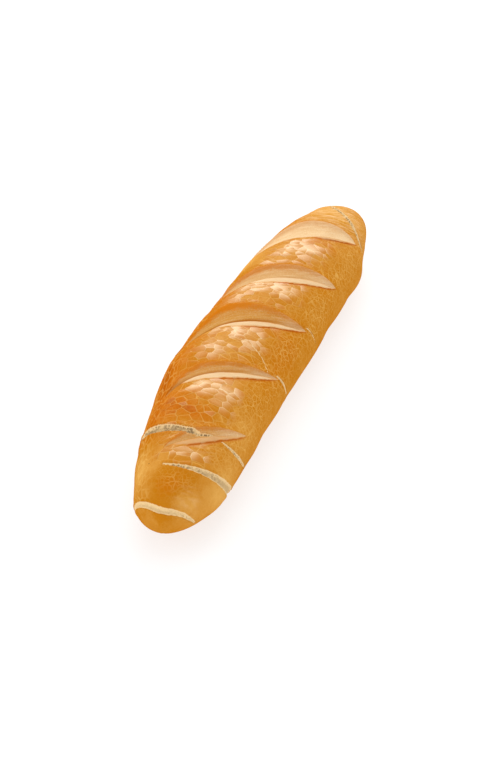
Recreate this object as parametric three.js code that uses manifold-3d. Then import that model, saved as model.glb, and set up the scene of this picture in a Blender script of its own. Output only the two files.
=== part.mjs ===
// A baguette, baked in one piece: a long loaf with a flat sole, blunt rounded ends and five slanting
// scores across its back. Each score opened in the oven into a shallow lens with a raised lip.
// Millimetres, +Z up. The loaf lies along X and rests on its sole, with the origin under its middle.

import * as THREE from "three";
import { mergeVertices } from "three/addons/utils/BufferGeometryUtils.js";
import Module from "manifold-3d";

// Overall sizes of the loaf.
const length = 400;
const width = 72;
const height = 56;

// Form of the loaf. A fullness is a superellipse exponent: 2 is an ellipse, more is blunter.
const shoulderHeight = 23; // the widest line of the loaf, above the sole
const solePress = 5; // depth of round dough that the oven floor flattened into the sole
const slimEndFullness = 2.6; // the -X end
const bluntEndFullness = 3.1; // the +X end
const tipFullness = 2.3;
const sectionFullness = 2.1;

// The bow of the loaf, which turns to one side in a rounded bend.
const bow = 10; // how far the bend stands aside of a straight line between the tips
const bendPlace = -54; // along X
const bendRounding = 15;

// The scores, cut across the back at a slant from one shoulder to the other.
const scoreCount = 5;
const endMargin = 42.5; // crust left between a tip of the loaf and the first score's field
const scoreShift = -26; // of the whole row of scores, along X
const scoreSlant = 66; // how far a score runs along the loaf from its one tip to its other
const scoreReach = THREE.MathUtils.degToRad(74); // from the ridge round to a score's tip
const scoreOpening = 22; // widest gap between the lip and the far edge
const scoreDepth = 4.5; // below the lip, at the crease
const floorFullness = 1.4; // exponent of the floor's rise to the far edge; 1 is straight
const lipHeight = 1.4;
const lipWidth = 4.5;
const pillow = 1.6; // how much the crust swells between two scores

// Fineness of the mesh.
const ringSpacing = 4.2;
const ringPoints = 46;
const weldDistance = 1e-4; // vertices this close are one

const halfLength = length / 2;
const halfWidth = width / 2;
const scorePitch = (length - 2 * endMargin) / scoreCount;
const firstCrease = scoreShift - (scorePitch * (scoreCount - 1)) / 2;
const creases = Array.from({ length: scoreCount }, (_, i) => firstCrease + i * scorePitch);

// value to a power, keeping its sign.
function signedPower(value, exponent) {
  return Math.sign(value) * Math.abs(value) ** exponent;
}

// Share of the full girth that the loaf has at a place along it, from 0 at a tip to 1.
function girthShare(x) {
  const fullness = x < 0 ? slimEndFullness : bluntEndFullness;
  const share = Math.min(Math.abs(x) / halfLength, 1);
  return (1 - share ** fullness) ** (1 / tipFullness);
}

// How far the middle of the loaf stands aside, in Y, at a place along it. It is 0 at both tips.
function bowAt(x) {
  const fromBend = (place) => Math.hypot(place - bendPlace, bendRounding);
  const straight = (place) =>
    THREE.MathUtils.mapLinear(place, -halfLength, halfLength, fromBend(-halfLength), fromBend(halfLength));
  return (bow * (straight(x) - fromBend(x))) / (straight(bendPlace) - bendRounding);
}

// Places along the loaf for the rings of vertices, even along the crust, with a ring on every crease
// and one half-way down every lip.
function ringPlaces() {
  const outline = new THREE.Curve();
  outline.getPoint = (t, target = new THREE.Vector3()) => {
    const x = -halfLength * Math.cos(Math.PI * t);
    return target.set(x, halfWidth * girthShare(x), 0);
  };
  const rings = Math.round(outline.getLength() / ringSpacing);
  const places = outline.getSpacedPoints(rings).map((point) => point.x);
  for (const crease of creases) {
    const after = places.findIndex((x) => x > crease);
    places[after - 1] = crease;
    places[after - 2] = crease - lipWidth / 2;
  }
  return places;
}

// How far a ring leans along the loaf at an angle round from the ridge, so that rings follow the scores.
function lean(x, angle) {
  const turn = Math.abs(angle);
  const back = turn < scoreReach ? turn / scoreReach : (Math.PI - turn) / (Math.PI - scoreReach);
  const room = THREE.MathUtils.smoothstep(halfLength - Math.abs(x), 0, endMargin + scoreSlant / 2);
  return Math.sign(angle) * back * room * scoreSlant / 2;
}

// Height of the crust over the smooth loaf, at a place on a leaning ring: pillows between the scores,
// and at each score a lip, a crease behind it and a floor that rises to the far edge.
function crustRelief(ringPlace, angle) {
  const reach = Math.abs(angle) / scoreReach;
  if (reach >= 1) return 0;
  const tipFade = Math.sqrt(1 - reach ** 2);
  const opening = scoreOpening * tipFade;
  let relief = 0;
  for (const crease of creases) {
    const behind = ringPlace - crease;
    if (behind >= 0 && behind < opening) {
      relief -= scoreDepth * tipFade * (1 - behind / opening) ** floorFullness;
    } else if (behind < 0 && behind > -lipWidth) {
      relief += lipHeight * tipFade * (1 + behind / lipWidth);
    }
  }
  const swell = (1 - Math.cos((2 * Math.PI * (ringPlace - firstCrease)) / scorePitch)) / 2;
  return relief + pillow * tipFade * (swell - 1);
}

// Moves a point of the lathed blank, which turns about Y, onto the loaf.
function shapePoint(blank) {
  const ringPlace = blank.y;
  const onAxis = Math.hypot(blank.x, blank.z) < weldDistance;
  const angle = onAxis ? 0 : Math.atan2(blank.x, blank.z);
  const x = ringPlace + lean(ringPlace, angle);
  const girth = girthShare(x);
  const across = signedPower(Math.sin(angle), 2 / sectionFullness);
  const upward = signedPower(Math.cos(angle), 2 / sectionFullness);
  const reachUp = upward > 0 ? height - shoulderHeight : shoulderHeight + solePress;
  const relief = crustRelief(ringPlace, angle) * girth;
  const y = bowAt(x) - across * (halfWidth * girth + relief);
  const z = shoulderHeight + upward * (reachUp * girth + relief);
  return new THREE.Vector3(x, y, z);
}

// The whole loaf before the oven floor flattens it.
function makeDough() {
  const profile = ringPlaces().map((x) => new THREE.Vector2(halfWidth * girthShare(x), x));
  const blank = new THREE.LatheGeometry(profile, ringPoints);
  blank.deleteAttribute("normal");
  blank.deleteAttribute("uv");
  const dough = mergeVertices(blank, weldDistance);
  const position = dough.getAttribute("position");
  const point = new THREE.Vector3();
  for (let i = 0; i < position.count; i++) {
    const shaped = shapePoint(point.fromBufferAttribute(position, i));
    position.setXYZ(i, shaped.x, shaped.y, shaped.z);
  }
  return dough;
}

const wasm = await Module();
wasm.setup();

// A closed geometry as a manifold-3d solid.
function toSolid(geometry) {
  const merged = geometry.clone();
  merged.deleteAttribute("normal");
  merged.deleteAttribute("uv");
  const closed = mergeVertices(merged, weldDistance);
  const vertProperties = closed.getAttribute("position").array;
  return new wasm.Manifold(new wasm.Mesh({ numProp: 3, vertProperties, triVerts: closed.index.array }));
}

// A manifold-3d solid as a geometry with its own normals.
function toGeometry(solid) {
  const mesh = solid.getMesh();
  const geometry = new THREE.BufferGeometry();
  geometry.setAttribute("position", new THREE.BufferAttribute(mesh.vertProperties, 3));
  geometry.setIndex(new THREE.BufferAttribute(mesh.triVerts, 1));
  geometry.computeVertexNormals();
  return geometry;
}

// The loaf with its sole flattened by the oven floor, centred over the origin.
function makeLoaf() {
  const ovenFloor = new THREE.BoxGeometry(2 * length, 2 * length, height);
  ovenFloor.translate(0, 0, -height / 2);
  const loaf = toGeometry(toSolid(makeDough()).subtract(toSolid(ovenFloor)));
  loaf.computeBoundingBox();
  const centre = loaf.boundingBox.getCenter(new THREE.Vector3());
  return loaf.translate(-centre.x, -centre.y, 0);
}

const crust = new THREE.MeshStandardMaterial({ color: 0xd08a3a, roughness: 0.5, metalness: 0 });
const baguette = new THREE.Mesh(makeLoaf(), crust);
baguette.name = "baguette";

const group = new THREE.Group();
group.add(baguette);

export default group;
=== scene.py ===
"""A crusty baguette, lying on a pale floor.

One loaf, baked as one piece: a bent form with blunt round ends and a flat sole, five slanting
scores that opened in the oven, porous cracks round both ends, and a crust that crackled as it
cooled. Metres, +Z up. The loaf lies along X with its sole on Z = 0. An angle is counted round the
loaf from its ridge, positive towards -Y.
"""
import logging
import math
from dataclasses import dataclass, field, replace
from enum import Enum
from functools import reduce
from typing import Any

import bmesh
import bpy
import numpy as np
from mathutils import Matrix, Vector


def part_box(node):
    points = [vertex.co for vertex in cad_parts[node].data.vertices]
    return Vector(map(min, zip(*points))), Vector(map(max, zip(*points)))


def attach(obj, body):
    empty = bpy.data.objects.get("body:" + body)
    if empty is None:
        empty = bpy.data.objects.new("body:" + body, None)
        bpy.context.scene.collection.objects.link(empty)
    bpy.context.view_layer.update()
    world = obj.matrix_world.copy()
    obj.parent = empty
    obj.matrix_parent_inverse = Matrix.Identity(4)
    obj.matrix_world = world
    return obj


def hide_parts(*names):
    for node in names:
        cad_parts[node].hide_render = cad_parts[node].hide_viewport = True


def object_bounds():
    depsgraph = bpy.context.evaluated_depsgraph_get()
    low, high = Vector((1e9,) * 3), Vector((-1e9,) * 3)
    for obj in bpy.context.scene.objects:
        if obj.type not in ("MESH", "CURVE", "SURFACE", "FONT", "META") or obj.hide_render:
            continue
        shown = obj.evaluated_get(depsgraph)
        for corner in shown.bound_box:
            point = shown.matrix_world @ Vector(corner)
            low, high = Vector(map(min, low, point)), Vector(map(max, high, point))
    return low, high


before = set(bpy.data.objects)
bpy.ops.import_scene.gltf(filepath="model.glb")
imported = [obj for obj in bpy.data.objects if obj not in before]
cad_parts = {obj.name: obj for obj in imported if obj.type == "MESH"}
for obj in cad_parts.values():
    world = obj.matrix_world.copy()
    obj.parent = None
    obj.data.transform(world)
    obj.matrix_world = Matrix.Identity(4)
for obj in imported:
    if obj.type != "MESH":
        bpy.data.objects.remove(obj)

CAD_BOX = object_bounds()
LOG = logging.getLogger("baguette")

# A distance inside an edge, in metres, for what is nowhere near it.
OUTSIDE = -0.01
# Keeps a division by a closed gap finite.
TINY = 1e-5
# Share of a line's half-width that is at full strength.
LINE_CORE = 0.25
MIDDLE_OF_NOISE = (0.5, 0.5, 0.5)

Values = np.ndarray
Colour = tuple[float, float, float]
Range = tuple[float, float]


def ramp_up(value: Values, low: float, high: float) -> Values:
    """Smooth step.

    Args:
        value: Numbers to compare with the two ends.
        low: Where the result is 0.
        high: Where the result is 1.

    Returns:
        0 to 1, with level ends.
    """
    share = np.clip((value - low) / (high - low), 0.0, 1.0)
    return share * share * (3.0 - 2.0 * share)


def at_least(low: float, share: Any) -> Any:
    """A share, as numbers or as a signal, squeezed into what lies between a low value and 1."""
    return low + (1.0 - low) * share


def signed_power(value: Values, exponent: float) -> Values:
    """A value to a power, keeping its sign."""
    return np.sign(value) * np.abs(value) ** exponent


@dataclass(frozen=True)
class LoafForm:
    """The smooth dough under the crust's relief.

    A fullness is a superellipse exponent: 2 is an ellipse.
    """

    length: float
    height: float
    middle: float = 0.0
    width: float = 0.072
    shoulder: float = 0.0228
    sole_press: float = 0.005
    sole_softness: float = 0.0012
    sole_lift: float = 0.0002
    slim_fullness: float = 2.6
    blunt_fullness: float = 3.1
    tip_fullness: float = 2.3
    section_fullness: float = 2.1
    bow: float = 0.0103
    bend_place: float = -0.054
    bend_rounding: float = 0.0145
    outline_samples: int = 200
    samples_per_ring: int = 40

    @classmethod
    def in_box(cls, low: Vector, high: Vector) -> "LoafForm":
        """Fits the form to a box.

        Args:
            low: The low corner of the box.
            high: Its high corner.

        Returns:
            The form, which fills the box.
        """
        form = cls(high.x - low.x, high.z - low.z)
        line = np.linspace(low.x, high.x, cls.outline_samples)
        quarter = np.full_like(line, math.pi / 2)
        right, left = (form.surface(line, turn)[:, 1] for turn in (quarter, -quarter))
        return replace(form, middle=(low.y + high.y) / 2 - (right.min() + left.max()) / 2)

    @property
    def half_length(self) -> float:
        """Half of the loaf's length."""
        return self.length / 2

    def girth(self, x: Values) -> Values:
        """Share of the full girth at places along the loaf, from 0 at a tip to 1."""
        share = np.minimum(np.abs(x) / self.half_length, 1.0)
        fullness = np.where(x < 0, self.slim_fullness, self.blunt_fullness)
        return (1.0 - share**fullness) ** (1.0 / self.tip_fullness)

    def aside(self, x: Values) -> Values:
        """Bows the loaf.

        Args:
            x: Places along the loaf.

        Returns:
            How far it stands aside there in Y, 0 at both tips.
        """
        tips = np.array([-self.half_length, self.half_length])
        reach = self._from_bend(tips)
        chord = np.interp(x, tips, reach)
        rise = np.interp(self.bend_place, tips, reach) - self.bend_rounding
        return self.bow * (chord - self._from_bend(x)) / rise

    def _from_bend(self, x: Values) -> Values:
        """Distances from the middle of the rounded bend."""
        return np.hypot(x - self.bend_place, self.bend_rounding)

    def surface(self, x: Values, angle: Values, relief: Values | float = 0.0) -> Values:
        """Points of the dough, before the oven floor flattens them.

        Args:
            x: Places along the loaf.
            angle: Angles round the loaf, in radians.
            relief: Height over the smooth dough.

        Returns:
            One row of X, Y and Z for each place.
        """
        girth = self.girth(x)
        across = signed_power(np.sin(angle), 2.0 / self.section_fullness)
        upward = signed_power(np.cos(angle), 2.0 / self.section_fullness)
        below = self.shoulder + self.sole_press
        reach_up = np.where(upward > 0, self.height - self.shoulder, below)
        y = self.aside(x) - across * (self.width / 2 * girth + relief)
        z = self.shoulder + upward * (reach_up * girth + relief)
        return np.stack([x, y, z], axis=-1)

    def settle(self, points: Values) -> Values:
        """Points as the oven floor leaves them: flat below Z = 0, and centred over the origin.

        Args:
            points: Rows of X, Y and Z.

        Returns:
            The settled rows.
        """
        settled = points.copy()
        above = settled[:, 2]
        rounded = (above + np.sqrt(above**2 + self.sole_softness**2)) / 2
        settled[:, 2] = np.maximum(rounded - self.sole_lift, 0.0)
        settled[:, 1] += self.middle
        return settled

    def ring_places(self, rings: int, busy: Values, extra: float, spread: float) -> Values:
        """Places along the loaf for rings, even along the crust but closer at busy places.

        Args:
            rings: How many.
            busy: Places where rings crowd together.
            extra: How many more rings there are there, as a share.
            spread: How far each crowd reaches.

        Returns:
            The places, from one tip to the other.
        """
        samples = self.samples_per_ring * rings
        fine = -self.half_length * np.cos(np.linspace(0.0, math.pi, samples))
        edge = self.width / 2 * self.girth(fine)
        middle = (fine[1:] + fine[:-1]) / 2
        crowd = sum(np.exp(-(((middle - place) / spread) ** 2)) for place in busy)
        steps = np.hypot(np.diff(fine), np.diff(edge)) * (1.0 + extra * crowd)
        run = np.concatenate([[0.0], np.cumsum(steps)])
        return np.interp(np.linspace(0.0, run[-1], rings), run, fine)


@dataclass(frozen=True)
class Score:
    """One cut across the back, opened into a lens: a lip, a crease, and a floor that rises.

    Angles are in degrees. The gap is widest at the angle belly_at.
    """

    place: float
    opening: float
    belly_at: float
    left_tip: float
    right_tip: float
    belly: float
    depth: float
    lip_width: float
    lip_height: float
    lip_left: float = -40.0
    paleness: float = 0.2
    # shade and shade_reach: strength of the painted shade behind the crease, and how far back it
    # reaches.
    shade: float = 0.4
    left_slant: float = 1.0
    cream: float = 1.0
    shade_reach: float = 0.0068
    slant: float = 0.0203
    slant_curl: float = 0.0064
    turn_back: float = 80.0
    tip_sharpness: float = 0.85
    lip_middle: float = 0.35
    lip_past_tip: float = 3.0
    lip_belly: float = 1.8
    lip_sharpness: float = 0.8

    def drift(self, angle: Values) -> Values:
        """How far the crease lies along X from its place on the ridge.

        Args:
            angle: Angles round the loaf, in radians.

        Returns:
            Distances that fade back to 0 on the underside.
        """
        turn = math.radians(self.turn_back)
        held = np.clip(angle, -turn, turn)
        along = self.slant * held + self.slant_curl * held**3
        along = np.where(angle < 0, along * self.left_slant, along)
        return along * (1.0 - ramp_up(np.abs(angle), turn, math.pi))

    def _across(self, angle: Values, middle: float, left: float, right: float) -> Values:
        """0 at the middle angle, 1 at the left and right ones, all in degrees, and more beyond."""
        offset = np.degrees(angle) - middle
        return np.where(offset > 0, offset / (right - middle), -offset / (middle - left))

    def gap(self, angle: Values) -> Values:
        """Width of the opening along X, 0 beyond the tips."""
        across = self._across(angle, self.belly_at, self.left_tip, self.right_tip)
        return self.opening * (1.0 - np.minimum(across, 1.0) ** self.belly) ** self.tip_sharpness

    def lip(self, angle: Values) -> Values:
        """Measures the lip.

        Args:
            angle: Angles round the loaf, in radians.

        Returns:
            Its widths along X, 0 beyond its ends.
        """
        middle = self.lip_left + self.lip_middle * (self.right_tip - self.lip_left)
        across = self._across(angle, middle, self.lip_left, self.right_tip + self.lip_past_tip)
        share = (1.0 - np.minimum(across, 1.0) ** self.lip_belly) ** self.lip_sharpness
        return self.lip_width * share


@dataclass(frozen=True)
class Crack:
    """A crack that tore open in the crust, along a quadratic curve of (place along X, degrees).

    Its three widths are at its start, in its middle and at its end, and porous holds how full of
    pores it is at its start and at its end.
    """

    start: tuple[float, float]
    bend: tuple[float, float]
    end: tuple[float, float]
    widths: tuple[float, float, float]
    depth: float
    porous: tuple[float, float] = (0.6, 0.6)
    steps: int = 20

    def _curve(self, places: tuple[Any, Any, Any], share: Values) -> Values:
        """A quadratic curve from the first of three values to the last, past the second."""
        first, second, last = places
        return first * (1 - share) ** 2 + 2 * second * share * (1 - share) + last * share**2

    def inside(self, form: LoafForm, points: Values) -> tuple[Values, Values]:
        """How far points lie inside the crack's edge, and how porous it is beside them.

        Args:
            form: The dough that the crack runs over.
            points: Rows of X, Y and Z on the smooth dough.

        Returns:
            Distances to the nearest edge, negative outside the crack, and the porousness there.
        """
        share = np.linspace(0.0, 1.0, self.steps)
        x = self._curve((self.start[0], self.bend[0], self.end[0]), share)
        angle = np.radians(self._curve((self.start[1], self.bend[1], self.end[1]), share))
        half = self._curve(self.widths, share) / 2
        route = form.surface(x, angle)
        deepest, nearest = np.full(len(points), OUTSIDE), np.zeros(len(points))
        for first in range(self.steps - 1):
            step = route[first + 1] - route[first]
            along = np.clip((points - route[first]) @ step / (step @ step), 0.0, 1.0)
            distance = np.linalg.norm(points - route[first] - along[:, None] * step, axis=1)
            inside = half[first] + (half[first + 1] - half[first]) * along - distance
            nearest = np.where(inside > deepest, share[first] + along * share[1], nearest)
            deepest = np.maximum(deepest, inside)
        return deepest, self.porous[0] + (self.porous[1] - self.porous[0]) * nearest


@dataclass(frozen=True)
class Spot:
    """A soft oval spot on the crust: its middle, how far it reaches each way, and how strong it is.

    Angles are in degrees.
    """

    place: float
    angle: float
    along: float
    around: float
    amount: float

    def at(self, x: Values, turn: Values) -> Values:
        """The spot's strength at places along the loaf and angles round it."""
        far = ((x - self.place) / self.along) ** 2 + ((turn - self.angle) / self.around) ** 2
        return self.amount * np.exp(-far)


def add_up(spots: tuple[Spot, ...], x: Values, turn: Values) -> Values:
    """What several spots add up to."""
    return sum((spot.at(x, turn) for spot in spots), np.zeros_like(x))


@dataclass(frozen=True)
class Relief:
    """Sizes of the crust's relief in metres, shares of them, and degrees where a fade says so."""

    floor_fullness: float = 1.3
    far_step: float = 0.42
    far_step_start: float = 0.8
    rim: float = 0.0007
    rim_width: float = 0.006
    ear_fullness: float = 0.8
    ear_edge: float = 0.1
    overhang: float = 0.0005
    lift_degrees: Range = (0.0, 30.0)
    valley: float = 0.0006
    valley_width: float = 0.003
    valley_left: float = 0.4
    pillow: float = 0.0016
    pillow_degrees: Range = (-95.0, -20.0)
    pillow_pitches: Range = (-3.4, -2.2)
    pillow_phase: float = 0.12
    crack_wall: Range = (-0.0002, 0.0012)
    crack_rim: float = 0.35
    crack_rim_fade: Range = (-0.0028, -0.0006)


@dataclass(frozen=True)
class ScoreMarks:
    """How a score marks the crust round it, in metres and degrees."""

    around: Range = (-0.5, 1.3)
    pale_tip: float = 0.5
    pale_tip_degrees: Range = (25.0, 60.0)
    full_gap: float = 0.006
    # Painted shade in the crease: where it fades round the loaf, its least share, and where it
    # starts.
    shade_degrees: Range = (-45.0, 0.0)
    shade_least: float = 0.35
    shade_start: float = 0.001
    # Painted shadow in front of a lifted lip: its width, its overlap with the lip, and its gain.
    lip_shadow_width: float = 0.0020
    lip_shadow_overlap: float = 0.0006
    lip_shadow_gain: float = 3.0
    beyond_width: float = 0.0032
    beyond_overlap: float = 0.002


@dataclass(frozen=True)
class Zones:
    """Where the looks of the crust fade in, in degrees or metres, and how strong they are."""

    sole: Range = (115.0, 160.0)
    left: Range = (15.0, 55.0)
    right: Range = (40.0, 100.0)
    hidden_left: Range = (62.0, 95.0)
    low_right: Range = (66.0, 105.0)
    ridge_middle: float = 6.0
    ridge: Range = (-50.0, -24.0)
    folded: Range = (-150.0, -100.0)
    free: Range = (-125.0, -95.0)
    scored: Range = (-0.155, -0.140)
    scored_shift: float = 0.005
    side_ends: Range = (0.0, 0.012)
    net_ends: Range = (0.001, 0.010)
    smooth_end: Range = (0.156, 0.164)
    bake: float = 0.42
    left_bake: float = 0.20
    hidden_unbaked: float = 0.6
    right_bake: float = 0.06
    edge_bake: float = 0.30
    edge_bake_degrees: Range = (-30.0, 20.0)
    edge_bake_least: float = 0.35
    edge_smooth: float = 0.85
    low_smooth: float = 0.55
    sole_smooth: float = 0.9
    hidden_smooth: float = 0.8


@dataclass
class Crust:
    """The whole outside of the loaf, as one closed mesh with marks for its finish."""

    form: LoafForm
    scores: tuple[Score, ...]
    cracks: tuple[Crack, ...]
    swellings: tuple[Spot, ...]
    bakes: tuple[Spot, ...]
    flake_sheens: tuple[Spot, ...]
    wisps: tuple[Spot, ...]
    nets: tuple[Spot, ...]
    sizes: Relief = Relief()
    score_marks: ScoreMarks = ScoreMarks()
    zones: Zones = Zones()
    rings: int = 430
    columns: int = 228
    top_fineness: float = 0.45
    crease_fineness: float = 1.1
    crease_spread: float = 0.004
    tip_girths: Range = (0.0, 0.25)
    marks: dict[str, Values] = field(default_factory=dict)

    def _blank(self) -> bpy.types.Mesh:
        """A closed sphere with a ring of vertices for each place along the loaf."""
        blank = bmesh.new()
        bmesh.ops.create_uvsphere(
            blank, u_segments=self.columns, v_segments=self.rings - 1, radius=1.0)
        mesh = bpy.data.meshes.new("baguette_crust")
        blank.to_mesh(mesh)
        blank.free()
        return mesh

    def _ring_and_angle(self, mesh: bpy.types.Mesh) -> tuple[Values, Values]:
        """Reads what place each vertex of the blank has.

        Args:
            mesh: The blank.

        Returns:
            The place of each vertex's ring along the loaf, and its angle, finer over the top.
        """
        ball = np.empty(len(mesh.vertices) * 3)
        mesh.vertices.foreach_get("co", ball)
        ball = ball.reshape(-1, 3)
        row = np.arccos(np.clip(-ball[:, 2], -1.0, 1.0)) / math.pi * (self.rings - 1)
        creases = np.array([score.place for score in self.scores])
        places = self.form.ring_places(
            self.rings, creases, self.crease_fineness, self.crease_spread)
        turn = np.arctan2(-ball[:, 0], ball[:, 1]) / math.pi
        angle = math.pi * (turn * (1.0 - self.top_fineness) + self.top_fineness * turn**3)
        return places[np.rint(row).astype(int)], angle

    def _along(self, ring: Values, angle: Values) -> Values:
        """Leans the rings as the creases beside them lean.

        Args:
            ring: The place of each vertex's ring.
            angle: Angles round the loaf, in radians.

        Returns:
            Where each vertex lies along X.
        """
        half = self.form.half_length
        knots = np.array([-half, *(score.place for score in self.scores), half])
        still = np.zeros_like(angle)
        drifts = np.stack([still, *(score.drift(angle) for score in self.scores), still])
        after = np.clip(np.searchsorted(knots, ring, side="right"), 1, len(knots) - 1)
        share = (ring - knots[after - 1]) / (knots[after] - knots[after - 1])
        vertex = np.arange(len(ring))
        return ring + drifts[after - 1, vertex] * (1.0 - share) + drifts[after, vertex] * share

    def _score_relief(self, x: Values, angle: Values) -> tuple[Values, Values]:
        """Height of lips, creases, floors and rims, and how far lips lean over their crease.

        Args:
            x: Places along the loaf.
            angle: Angles round it, in radians.

        Returns:
            The relief and the lean along X, one number for each place.
        """
        sizes, turn = self.sizes, np.degrees(angle)
        relief, lean = np.zeros_like(x), np.zeros_like(x)
        for name in ("floor", "lip"):
            self.marks[name] = np.full_like(x, OUTSIDE)
        for name in ("rise", "paleness", "cream", "shade", "under", "beyond"):
            self.marks[name] = np.zeros_like(x)
        for score in self.scores:
            behind = x - score.place - score.drift(angle)
            gap, lip = score.gap(angle), score.lip(angle)
            wide, tall = gap / score.opening, lip / score.lip_width
            with np.errstate(divide="ignore", invalid="ignore"):
                rise = np.clip(np.where(gap > 0, behind / gap, 1.0), 0.0, 1.0)
                over = np.clip(np.where(lip > 0, -behind / lip, 1.0), 0.0, 1.0)
            on_floor = (behind >= 0) & (behind < gap)
            on_lip = (behind < 0) & (behind > -lip)
            slope = (1.0 - sizes.far_step) * (1.0 - rise) ** sizes.floor_fullness
            climbed = ramp_up(rise, sizes.far_step_start, 1.0)
            step = sizes.far_step * (1.0 - climbed)
            relief -= on_floor * score.depth * np.sqrt(wide) * (slope + step)
            relief += on_floor * sizes.rim * wide * climbed
            ear = (1.0 - over) ** sizes.ear_fullness
            ear *= ramp_up(over, -sizes.ear_edge, sizes.ear_edge)
            relief += on_lip * score.lip_height * tall * ear
            lean += on_lip * sizes.overhang * tall * ear
            beyond, before = behind - gap, -behind - lip
            fall = np.clip(1.0 - beyond / sizes.rim_width, 0.0, 1.0) ** 2
            relief += (beyond >= 0) * sizes.rim * wide * fall
            lifted = tall * ramp_up(turn, *sizes.lift_degrees)
            dip = np.clip(1.0 - before / sizes.valley_width, 0.0, 1.0) ** 2
            relief -= (before >= 0) * sizes.valley * (sizes.valley_left * tall + lifted) * dip
            self._mark_score(score, turn, behind, gap, lip, lifted)
        return relief, lean

    def _mark_score(self, score: Score, turn: Values, behind: Values, gap: Values, lip: Values,
                    lifted: Values) -> None:
        """Adds one score to the marks.

        Args:
            score: The score.
            turn: Angles round the loaf, in degrees.
            behind: Distances behind the crease along X.
            gap: Widths of the opening.
            lip: Widths of the lip.
            lifted: How much the lip stands off the crust in front of it.
        """
        marks, look = self.marks, self.score_marks
        marks["floor"] = np.maximum(marks["floor"], np.minimum(behind, gap - behind))
        marks["lip"] = np.maximum(marks["lip"], np.minimum(-behind, lip + behind))
        first, last = np.array(look.around) * score.opening
        around = (behind > first) & (behind < last)
        pale = score.paleness + look.pale_tip * ramp_up(turn, *look.pale_tip_degrees)
        rise = np.clip(behind / np.maximum(gap, TINY), 0.0, 1.0)
        for name, value in {"rise": rise, "paleness": pale, "cream": score.cream}.items():
            marks[name] = np.where(around, np.minimum(value, 1.0), marks[name])
        wide = np.clip(gap / look.full_gap, 0.0, 1.0)
        # Painted shade just behind the crease, where the lip hides the floor from view.
        left = at_least(look.shade_least, ramp_up(-turn, *look.shade_degrees))
        far = ramp_up(behind, 0.5 * score.shade_reach, score.shade_reach)
        near = ramp_up(behind, -look.shade_start, 0.0) * (1.0 - far)
        # Painted shadow on the crust just in front of the lip, where the lip stands off it.
        front = np.exp(-(((behind + lip) / look.lip_shadow_width) ** 2))
        front *= np.minimum(look.lip_shadow_gain * lifted, 1.0) * (behind < -lip + look.lip_shadow_overlap)
        past = np.exp(-(((behind - gap) / look.beyond_width) ** 2))
        past *= np.sqrt(gap / score.opening) * (behind > gap - look.beyond_overlap)
        shade = score.shade * wide * near * left
        for name, value in {"shade": shade, "under": front, "beyond": past}.items():
            marks[name] = np.maximum(marks[name], value)

    def _swell(self, ring: Values, angle: Values) -> Values:
        """Swells the crust into a pillow between two scores.

        Args:
            ring: The place of each vertex's ring.
            angle: Angles round the loaf, in radians.

        Returns:
            The height of the pillows, from 0 down.
        """
        sizes = self.sizes
        knots = np.array([score.place for score in self.scores])
        pitch = float(np.mean(np.diff(knots)))
        edges = np.concatenate([[knots[0] - pitch], knots, [knots[-1] + pitch]])
        phase = np.interp(ring, edges, np.arange(len(edges))) - sizes.pillow_phase
        window = ramp_up(-np.abs(angle), *np.radians(sizes.pillow_degrees))
        window *= ramp_up(-np.abs(ring - knots.mean()), *np.array(sizes.pillow_pitches) * pitch)
        return -sizes.pillow * window * (1.0 + np.cos(2 * math.pi * phase)) / 2

    def _crack_relief(self, dough: Values) -> Values:
        """Sinks the cracks and lifts their rims, and marks them.

        Args:
            dough: Points of the smooth dough.

        Returns:
            The relief.
        """
        marks, sizes = self.marks, self.sizes
        hollow, rim, marks["porous"] = np.zeros((3, len(dough)))
        marks["crack"] = np.full(len(dough), OUTSIDE)
        edge, foot = sizes.crack_wall
        for crack in self.cracks:
            inside, porous = crack.inside(self.form, dough)
            wall = ramp_up(inside, edge, min(max(crack.widths) / 2, foot))
            hollow = np.maximum(hollow, crack.depth * wall)
            lifted = sizes.crack_rim * crack.depth * ramp_up(inside, *sizes.crack_rim_fade)
            rim = np.maximum(rim, lifted)
            marks["porous"] = np.where(inside > marks["crack"], porous, marks["porous"])
            marks["crack"] = np.maximum(marks["crack"], inside)
        return rim * (marks["crack"] < 0) - hollow

    def _paint_marks(self, ring: Values, x: Values, angle: Values) -> None:
        """Marks of how dark the crust baked and of where it broke into plates or a fine net.

        Args:
            ring: The place of each vertex's ring.
            x: Places along the loaf.
            angle: Angles round it, in radians.
        """
        marks, zones, turn = self.marks, self.zones, np.degrees(angle)
        from_tip = self.form.half_length - np.abs(x)
        sole = ramp_up(np.abs(turn), *zones.sole)
        sides = (1.0 - sole) * ramp_up(from_tip, *zones.side_ends)
        left, right = ramp_up(-turn, *zones.left) * sides, ramp_up(turn, *zones.right) * sides
        hidden = ramp_up(-turn, *zones.hidden_left)
        on_crust = (marks["floor"] < 0) & (marks["lip"] < 0)
        tips = on_crust * ramp_up(from_tip, *zones.net_ends)

        edge = at_least(zones.edge_bake_least, ramp_up(-turn, *zones.edge_bake_degrees))
        marks["bake"] = zones.bake + add_up(self.bakes, x, turn) - zones.right_bake * right
        marks["bake"] += zones.left_bake * left * (1.0 - zones.hidden_unbaked * hidden)
        marks["bake"] += zones.edge_bake * marks["beyond"] * edge

        middle = self.scores[len(self.scores) // 2].place + zones.scored_shift
        scored = ramp_up(-np.abs(x - middle), *zones.scored)
        ridge = ramp_up(-np.abs(turn - zones.ridge_middle), *zones.ridge)
        marks["plates"] = ridge * scored * on_crust * (1.0 - zones.edge_smooth * marks["beyond"])
        # Where plates get the paler flake colour and a painted highlight.
        marks["flake_sheen"] = add_up(self.flake_sheens, x, turn) * on_crust
        marks["wisps"] = add_up(self.wisps, x, turn) * on_crust

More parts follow.
